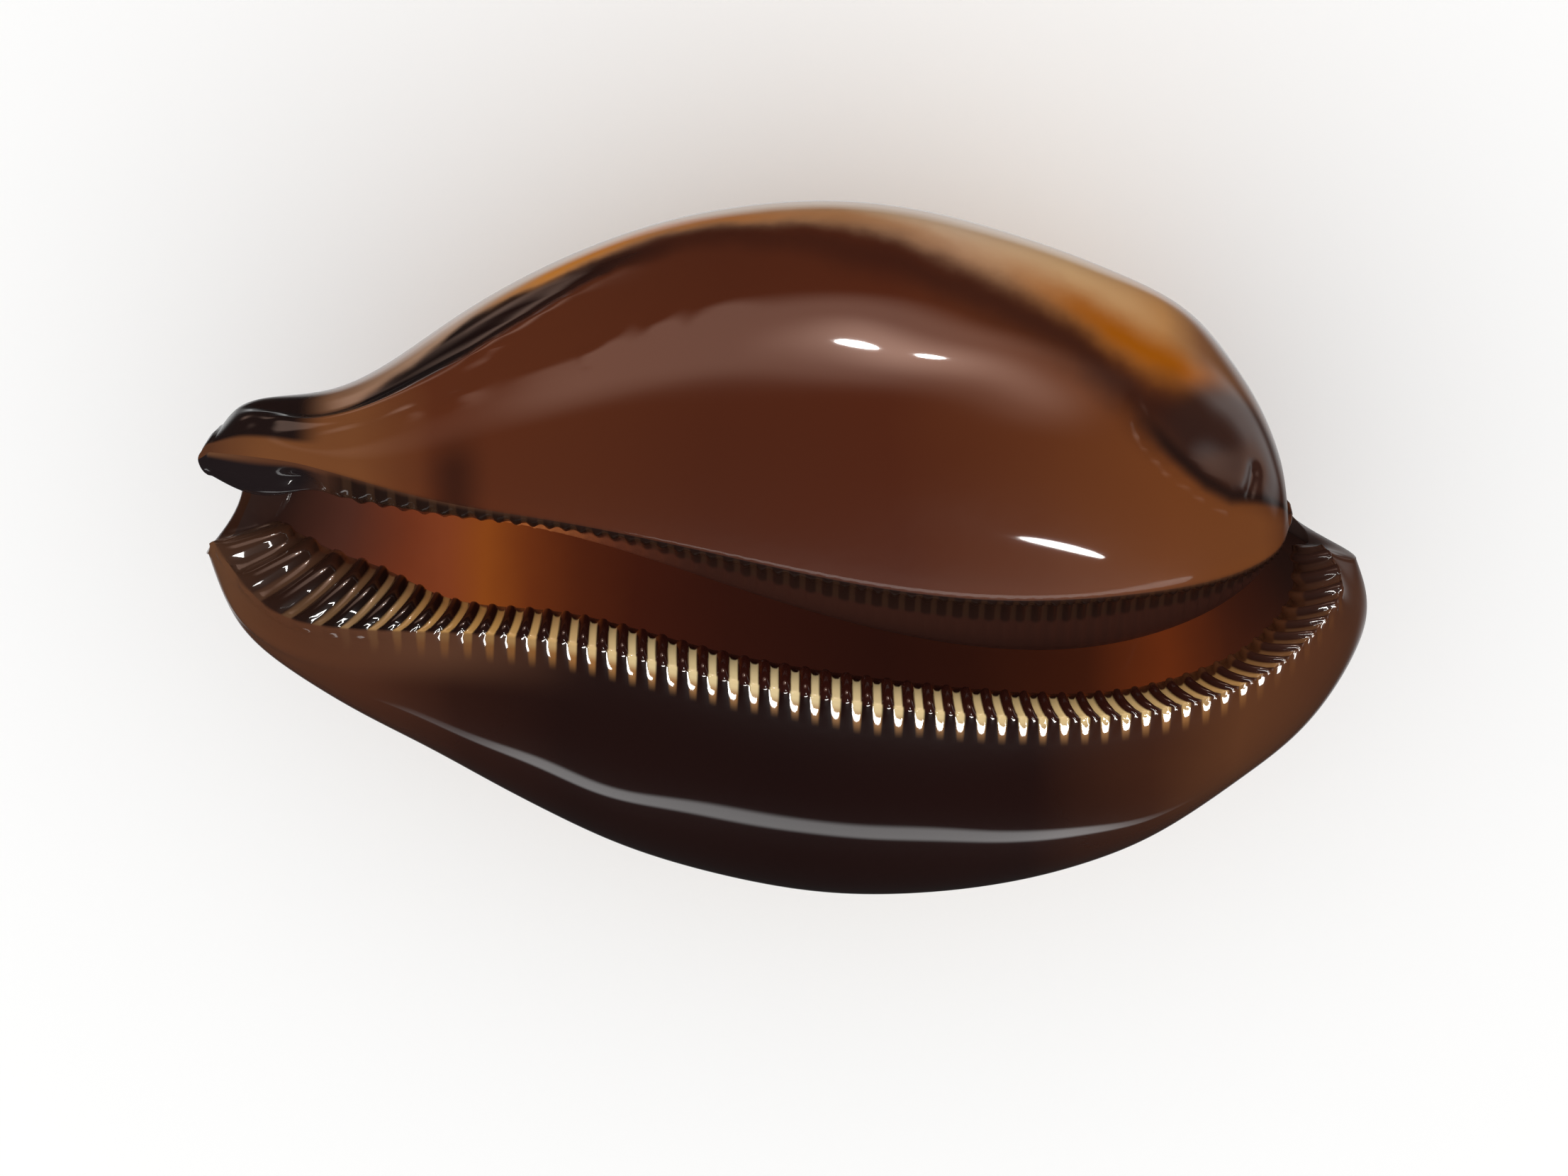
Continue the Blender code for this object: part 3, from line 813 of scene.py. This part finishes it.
    def build(self) -> bpy.types.Material:
        """Returns the material."""
        graph = Graph.for_material(self.name)
        at = Where.on(graph)
        is_inside = at.around.step(5.0, 5.6) * at.around.step(11.9, 11.5)
        inside = self.hollow_tone(graph, at, self.hollow, 9.8, self.swelling)
        colour = graph.mix(is_inside, self.outside(graph, at), inside)
        # Painted shade: the columella's face under the front beak is tinted dark blue-grey.
        underside = at.around.step(11.5, 11.8) * at.around.step(12.98, 12.85) * at.along.step(0.15, 0.09)
        colour = graph.tint(underside, colour, self.canal)
        colour = self.lip_teeth(graph, at, colour)
        graph.connect("Base Color", self.columella_teeth(graph, at, colour))
        # Painted glow: the inside emits light, as if lit through its thin wall, except near the lip's
        # teeth.
        painted_glow_share = is_inside * (1 - at.lip.step(6.0, 4.5))
        light = self.hollow_tone(graph, at, self.painted_glow, 9.6, self.swelling_painted_glow)
        graph.connect("Emission Color", graph.mix(painted_glow_share, (0, 0, 0, 1), light))
        on_crest = abs(at.columella).step(1.3, 0.5)
        tip = at.growth.step(0.955, 0.985)
        worn = (is_inside * 0.7).highest(on_crest * 0.86).highest(tip * 0.6)
        graph.connect("Coat Weight", self.coat - worn)
        height = {"Height": graph.noise(at.place, 420, 2), "Strength": 0.12, "Distance": 0.0002}
        graph.connect("Normal", graph.node("ShaderNodeBump", {}, height, "Normal"))
        surface = graph.surface.inputs
        surface["Emission Strength"].default_value = 1.0
        surface["Roughness"].default_value = self.under_gloss
        surface["IOR"].default_value = 1.45
        surface["Specular IOR Level"].default_value = self.under_gloss_level
        surface["Coat Roughness"].default_value = self.coat_roughness
        surface["Coat IOR"].default_value = 1.5
        return graph.owner

    def hollow_tone(self, graph: Graph, at: Where, stops: Stops, start: float, swelling: Seen) -> Socket:
        """Returns a tone of the hollow, for its base colour and for its painted glow alike, with one of
        its own for the columella's swelling.

        Args:
            graph: The material's nodes.
            at: The coordinates.
            stops: The tone along the hollow.
            start: The place round the loop where the swelling starts.
            swelling: The swelling's tone.

        Returns:
            The tone.
        """
        share = at.around.step(start, start + 0.8) * at.along.step(0.3, 0.45)
        return graph.tint(share, graph.ramp(at.along, stops), swelling)

    def outside(self, graph: Graph, at: Where) -> Socket:
        """Returns the colour of the base, the margins and the back."""
        swayed = at.around + (at.wander - 0.5) * 0.1
        bands = (graph.noise(at.place, 60, 4) - 0.35) * 0.5
        back = graph.tint(bands, graph.ramp(at.along, self.back), self.band)
        edge = graph.track(at.along, self.base_edge_line)
        base = graph.ramp(at.along, self.columellar_base)
        colour = graph.mix((swayed - edge).step(-0.06, 0.1), base, back)
        # Partly painted light: the amber band along the base's edge is partly colour, partly a painted
        # glow through the thin shell.
        amber = swayed.near(edge + 0.05, graph.track(at.along, self.amber_width))
        amber = amber * graph.track(at.along, self.amber_share)
        colour = graph.mix(amber, colour, graph.ramp(at.along, self.amber))
        line = graph.track(at.along, self.smoke_line)
        smoke = swayed.near(line, graph.track(at.along, self.smoke_width))
        colour = graph.tint(smoke * graph.track(at.along, self.smoke_share), colour, self.smoke)
        stripe = (swayed - line + 0.005).near(0, graph.track(at.along, self.stripe_width))
        stripe = stripe.step(0.0, 0.6) * graph.track(at.along, self.stripe_share)
        colour = self.dark_marks(graph, at, graph.tint(stripe, colour, self.stripe))
        # Painted sheen: a lighter brown band along the outer margin of the lip, towards the front end.
        margin_sheen = at.lip.step(-4.5, -1.0) * at.along.near(0.2, 0.16) * 0.6
        labral = graph.tint(margin_sheen, graph.ramp(at.along, self.labral_base), self.margin_sheen)
        return graph.mix(swayed.step(2.68, 2.95), colour, labral)

    def dark_marks(self, graph: Graph, at: Where, colour: Socket) -> Socket:
        """Returns the colour with painted shade in the pit and along its fold's crease, the spot near the
        canal and the black boss over it.
        """
        fold = graph.track(at.growth, self.pit_fold_line)
        top = graph.track(at.growth, self.pit_top_line)
        # Painted shade: the pit near the spire end is darkened inside.
        pit = (at.around - fold).step(-0.01, 0.05) * (top - at.around).step(-0.05, 0.06)
        pit = pit * at.growth.step(0.8, 0.86) * at.growth.step(1.0, 0.95)
        colour = graph.tint(pit * 0.9, colour, self.pit)
        # Painted shade: a dark line along the crease of the pit's fold.
        crease = (at.around - fold).near(0.035, 0.05) * at.around.step(0.85, 0.65)
        colour = graph.tint(crease * at.growth.step(0.80, 0.84) * 0.75, colour, self.stripe)
        spot = at.growth.near(0.227, 0.034) * at.around.step(0.45, 0.2)
        colour = graph.tint(spot * 0.7, colour, self.spot)
        boss = at.around.step(0.36, 0.46) * at.around.step(1.3, 1.0) * at.growth.step(0.12, 0.09)
        return graph.tint(boss, colour, self.boss)

    def lip_teeth(self, graph: Graph, at: Where, colour: Socket) -> Socket:
        """Returns the colour with the outer lip's dark teeth and pale gaps over it."""
        wave = ((at.number - 0.375) * (2 * math.pi)).cosine() + at.along.step(0.3, 0.1) * 0.2
        outer = at.lip.step(-0.2, -0.9) * at.along.step(0.12, 0.2)
        gap = graph.tint(outer * 0.9, graph.ramp(at.along, self.tooth_gap), self.gap_below_crest)
        face = graph.mix(wave.step(-0.1, -0.65), graph.ramp(at.along, self.tooth_ridge), gap)
        foot = graph.track(at.along, self.lip_foot) * 10
        on_face = at.lip.step(-0.15, 0.15) * (at.lip - foot).step(0.15, -0.15)
        colour = graph.mix(on_face, colour, face)
        streak = (at.lip + (at.wander - 0.5) * 0.9).step(-2.0, -0.8) * at.lip.step(0.3, 0.1)
        streak = streak * (wave - at.lip * 0.2).step(0.2, -0.6) * graph.track(at.along, self.streak_share)
        return graph.mix(streak, colour, gap)

    def columella_teeth(self, graph: Graph, at: Where, colour: Socket) -> Socket:
        """Returns the colour with the columella's fine dark teeth over it."""
        wave = (at.number * (2 * math.pi * self.columella_share)).cosine()
        ridge = (*linear(*self.fine_ridge), 1)
        band = graph.tint(wave.step(0.0, -0.8) * 0.8, ridge, self.fine_gap)
        foot = graph.track(at.along, self.columella_foot) * 10
        on_band = at.columella.step(-0.25, 0.35) * (at.columella - foot).step(0.5, 0.0)
        shown = at.along.step(0.11, 0.14) * at.along.step(1.0, 0.97)
        return graph.mix(on_band * shown, colour, band)


@dataclass
class CowrieShell:
    """The whole shell, which takes the place of the part's one node."""

    name: str = "cowrie_shell"
    node: str = "shell"
    body: str = "root"
    loops: Loops = field(default_factory=Loops)
    teeth: Teeth = field(default_factory=Teeth)
    relief: Relief = field(default_factory=Relief)
    finish: ShellFinish = field(default_factory=ShellFinish)
    rim_overhang: float = 0.8
    rim_angles: Series = (20, 38, 54, 68, 80, 90)
    front_rim: Triple = (-1.0, 0.0, 0.0)
    spire_rim: Triple = (0.4, 0.3, 0.0)
    fit_in_box: Triple = (0.998, 0.998, 0.9962)
    weld_distance: float = 2e-6
    teeth_end_row: int = 6
    beyond_teeth: float = 20.0
    column: np.ndarray = field(default_factory=lambda: np.zeros(0, dtype=int))
    row: np.ndarray = field(default_factory=lambda: np.zeros(0, dtype=int))

    def build(self) -> bpy.types.Object:
        """Models the shell and returns it."""
        sheet = Sheet.through(self.loops, self.teeth.columns(self.loops.growth))
        rows = self.loops.rows
        lip_row = self.loops.crest_row() + rows[Stretch.LIP_FACE]
        columella_row = -1 - rows[Stretch.COLUMELLA_FACE] - self.teeth_end_row
        height = self.teeth.heights(sheet, lip_row, columella_row) + self.relief.heights(sheet)
        points = sheet.points + normals(sheet.points) * height[:, :, None]
        points[:, -1] = points[:, 0]
        piece = self.add_sheet(self.with_rims(points))
        rims = len(self.rim_angles)
        ends = ((rims, rims), (0, 0))
        number = np.pad(self.teeth.numbers(), rims, "edge")
        self.write_map(piece, SurfaceMap.GROWTH, np.pad(sheet.w, rims, "edge"), sheet.around[None, :])
        self.write_map(piece, SurfaceMap.LIP, number, np.pad(sheet.lip, ends, "edge"))
        self.write_map(piece, SurfaceMap.COLUMELLA, number, np.pad(sheet.columella, ends, "edge"))
        self.close(piece)
        return piece

    def with_rims(self, points: Points) -> Points:
        """Returns the points with the rings that round off the wall at both canals."""
        rings = []
        for loop, direction in ((points[0], self.front_rim), (points[-1], self.spire_rim)):
            partner = loop[::-1]
            middle = (loop + partner) / 2
            half_wall = np.linalg.norm(loop - middle, axis=1)
            overhang = np.outer(np.minimum(half_wall, self.rim_overhang), direction)
            angles = np.radians(self.rim_angles)
            rings.append([middle + (loop - middle) * np.cos(a) + overhang * np.sin(a) for a in angles])
        return np.concatenate([rings[0][::-1], points, rings[1]])

    def add_sheet(self, points: Points) -> bpy.types.Object:
        """Adds a grid, lays its vertices on the shell's points and returns it, still open."""
        columns, rows = points.shape[:2]
        bpy.ops.object.select_all(action="DESELECT")
        bpy.ops.mesh.primitive_grid_add(x_subdivisions=columns - 1, y_subdivisions=rows - 1, size=2)
        piece = bpy.context.object
        piece.name = self.name
        piece.data.name = self.name
        flat = np.empty(len(piece.data.vertices) * 3)
        piece.data.vertices.foreach_get("co", flat)
        corners = (flat.reshape(-1, 3) + 1) / 2
        self.column = np.rint(corners[:, 0] * (columns - 1)).astype(int)
        self.row = np.rint(corners[:, 1] * (rows - 1)).astype(int)
        base = np.array(self.loops.growth.base_point)
        placed = (points[self.column, self.row] - base) * np.array(self.fit_in_box) * MM
        piece.data.vertices.foreach_set("co", placed.ravel())
        return piece

    def write_map(
        self,
        piece: bpy.types.Object,
        kind: SurfaceMap,
        along: np.ndarray,
        across: np.ndarray,
    ) -> None:
        """Writes a surface map: one number for each loop, and one for each point.

        Args:
            piece: The open sheet.
            kind: The map.
            along: The first coordinate of each column.
            across: The second coordinate, of each point or of each row.
        """
        mesh = piece.data
        corner = np.empty(len(mesh.loops), dtype=np.int32)
        mesh.loops.foreach_get("vertex_index", corner)
        first = along[self.column[corner]]
        across = np.broadcast_to(across, (len(along), across.shape[1]))
        second = across[self.column[corner], self.row[corner]]
        if kind is SurfaceMap.COLUMELLA:
            lowest = np.repeat(self.row[corner].reshape(-1, 4).min(axis=1), 4)
            at_crest = (self.row[corner] == self.loops.crest_row()) & (lowest == self.loops.crest_row())
            second = np.where(at_crest, self.beyond_teeth, second)
        layer = mesh.uv_layers.new(name=kind.value)
        layer.data.foreach_set("uv", np.stack([first, second], axis=1).ravel())

    def close(self, piece: bpy.types.Object) -> None:
        """Welds the seam and the rims, presses the resting spot flat and smooths the shading."""
        bpy.ops.object.mode_set(mode="EDIT")
        bpy.ops.mesh.select_all(action="SELECT")
        bpy.ops.mesh.remove_doubles(threshold=self.weld_distance)
        bpy.ops.mesh.normals_make_consistent(inside=False)
        bpy.ops.mesh.select_all(action="DESELECT")
        bpy.ops.object.mode_set(mode="OBJECT")
        for vertex in piece.data.vertices:
            vertex.select = vertex.co.z < 0
        bpy.ops.object.mode_set(mode="EDIT")
        bpy.ops.transform.resize(value=(1, 1, 0), center_override=(0, 0, 0))
        bpy.ops.object.mode_set(mode="OBJECT")
        bpy.ops.object.shade_smooth()

    def dress(self, piece: bpy.types.Object) -> None:
        """Gives the shell its finish, its body and the node that it replaces."""
        piece.data.materials.clear()
        piece.data.materials.append(self.finish.build())
        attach(piece, self.body)
        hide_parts(self.node)


def normals(grid: Points) -> Points:
    """Returns the directions square to the surface at the points of the open sheet."""
    along = np.gradient(grid, axis=0)
    closed = grid[:, :-1]
    around = (np.roll(closed, -1, axis=1) - np.roll(closed, 1, axis=1)) / 2
    around = np.concatenate([around, around[:, :1]], axis=1)
    direction = np.cross(along, around)
    return direction / np.linalg.norm(direction, axis=2, keepdims=True)


@dataclass(frozen=True)
class Lamp:
    """A soft box: where it hangs as seen from the shell, its size, its power and its long side."""

    name: str
    direction: Triple
    distance: float
    width: float
    height: float
    power: float
    along: Triple = (1.0, 0.0, 0.0)
    colour: Triple = (1.0, 0.98, 0.95)


@dataclass(frozen=True)
class Patch:
    """A pale patch of the room: its light, and soft steps along the parts of the direction."""

    light: float
    steps: tuple[tuple[str, float, float], ...]


@dataclass(frozen=True)
class Room:
    """The plain soft light of the room, and the dim room that shows in the gloss.

    Matt surfaces get an even light from all sides. The gloss shows pale patches in their order: the
    side behind the columella, its bright middle, a low corner at the front end, a low one at the
    spire end, the ground behind the shell and a low strip in front of the lip. The strip is bent.
    """

    name: str = "room"
    even_light: float = 1.06
    dark: float = 0.02
    warm: Triple = (1.0, 0.66, 0.52)
    warm_from: Pair = (0.3, 0.6)
    bend: float = 3.0
    bend_middle: float = -0.1
    patches: tuple[Patch, ...] = (
        Patch(1.9, (
            ("Y", 0.5, 0.75), ("Z", 0.15, 0.35), ("Z", 0.85, 0.7), ("X", -0.65, -0.35), ("X", 0.55, 0.25),
        )),
        Patch(5.0, (
            ("X", -0.13, 0.17), ("X", 0.47, 0.17), ("Z", 0.38, 0.55), ("Z", 0.72, 0.55), ("Y", 0.5, 0.7),
        )),
        Patch(1.4, (
            ("X", -0.72, -0.5), ("X", -0.28, -0.5), ("Y", 0.38, 0.68), ("Y", 0.98, 0.68),
            ("Z", -0.72, -0.47), ("Z", -0.22, -0.47),
        )),
        Patch(1.2, (("X", 0.6, 0.85), ("Y", 0.0, 0.3), ("Z", -0.75, -0.45), ("Z", 0.3, 0.0))),
        Patch(0.6, (("Y", 0.3, 0.0), ("Y", -0.5, -0.35), ("Z", -0.6, -0.9))),
        Patch(2.6, (
            ("Y", -0.5, -0.75), ("bent", 0.15, 0.20), ("bent", 0.34, 0.28), ("X", -0.47, -0.36),
            ("X", 0.4, 0.2),
        )),
    )

    def build(self) -> bpy.types.World:
        """Returns the world."""
        graph = Graph(bpy.data.worlds.new(self.name), "Background")
        direction = graph.node("ShaderNodeTexCoord", {}, {}, "Generated")
        parts = {axis: graph.part(direction, axis) for axis in "XYZ"}
        off_middle = parts["X"] - self.bend_middle
        parts["bent"] = parts["Z"] + off_middle * off_middle * self.bend
        in_gloss: Any = self.dark
        for patch in self.patches:
            light: Any = patch.light
            for part, low, high in patch.steps:
                light = parts[part].step(low, high) * light
            in_gloss = light + in_gloss
        glossy = graph.node("ShaderNodeLightPath", {}, {}, "Is Glossy Ray")
        warm_share = glossy * parts["Y"].step(*self.warm_from)
        graph.connect("Color", graph.mix(warm_share, (1, 1, 1, 1), (*self.warm, 1)))
        graph.connect("Strength", glossy * in_gloss + (1 - glossy) * self.even_light)
        return graph.owner


@dataclass
class Studio:
    """The pale floor, the soft lights and the camera."""

    centre: Triple = (-0.000273, -0.00034, 0.020105)
    tilt: float = 18.0
    camera_distance: float = 0.3
    camera_side: float = 0.00012
    camera_up: float = -0.0026
    lens: float = 102.53
    sensor: float = 36.0
    floor_size: float = 3.0
    floor_colour: Triple = (0.97, 0.97, 0.965)
    room: Room = field(default_factory=Room)
    lamps: tuple[Lamp, ...] = (
        Lamp("overhead_box", (0.33, -0.03, 0.94), 0.6, 0.15, 0.02, 0.6, (0.8, -0.53, -0.27)),
        Lamp("front_box", (0.24, -0.325, 0.915), 0.6, 0.7, 0.05, 3.4),
        Lamp("side_box", (0.10, 0.81, 0.55), 0.6, 0.06, 0.02, 0.4),
        Lamp("second_side_box", (0.25, 0.80, 0.55), 0.6, 0.03, 0.016, 0.15),
    )

    def add_floor(self) -> None:
        """Adds the pale floor below the shell."""
        bpy.ops.object.select_all(action="DESELECT")
        bpy.ops.mesh.primitive_plane_add(size=self.floor_size, location=(0, 0, 0))
        floor = bpy.context.object
        floor.name = "pale_floor"
        graph = Graph.for_material("pale_floor")
        graph.surface.inputs["Base Color"].default_value = (*self.floor_colour, 1)
        graph.surface.inputs["Roughness"].default_value = 0.9
        graph.surface.inputs["Specular IOR Level"].default_value = 0.1
        floor.data.materials.append(graph.owner)
        floor.visible_glossy = False

    def add_lights(self) -> None:
        """Hangs the soft boxes, which show in the gloss alone, and sets the light of the room."""
        for lamp in self.lamps:
            direction = Vector(lamp.direction).normalized()
            light = bpy.data.lights.new(lamp.name, "AREA")
            light.shape = "ELLIPSE"
            light.size = lamp.width
            light.size_y = lamp.height
            light.energy = lamp.power
            light.color = lamp.colour
            item = bpy.data.objects.new(lamp.name, light)
            bpy.context.scene.collection.objects.link(item)
            item.location = Vector(self.centre) + direction * lamp.distance
            short = direction.cross(Vector(lamp.along)).normalized()
            turn = Matrix((short.cross(direction), short, direction)).transposed()
            item.rotation_euler = turn.to_euler()
            item.visible_diffuse = False
        bpy.context.scene.world = self.room.build()
        bpy.context.scene.view_settings.view_transform = "Standard"

    def add_camera(self) -> None:
        """Adds the camera, square to the picture's own right and up."""
        tilt = math.radians(self.tilt)
        towards = Vector((0, math.sin(tilt), math.cos(tilt)))
        right = Vector((1, 0, 0))
        up = Vector((0, math.cos(tilt), -math.sin(tilt)))
        data = bpy.data.cameras.new("camera")
        data.sensor_width = self.sensor
        data.lens = self.lens
        data.clip_start = 0.01
        camera = bpy.data.objects.new("camera", data)
        bpy.context.scene.collection.objects.link(camera)
        place = Vector(self.centre) + towards * self.camera_distance
        place = place + right * self.camera_side + up * self.camera_up
        turn = Matrix((right, up, towards)).transposed()
        camera.matrix_world = Matrix.Translation(place) @ turn.to_4x4()
        bpy.context.scene.camera = camera


def main() -> None:
    """Builds the shell and the studio round it."""
    logging.basicConfig(level=logging.INFO, format="%(name)s: %(message)s")
    studio = Studio()
    studio.add_camera()
    studio.add_lights()
    studio.add_floor()
    LOG.info("studio ready")
    shell = CowrieShell()
    piece = shell.build()
    shell.dress(piece)
    LOG.info("%s: %d faces", piece.name, len(piece.data.polygons))


if __name__ == "__main__":
    main()
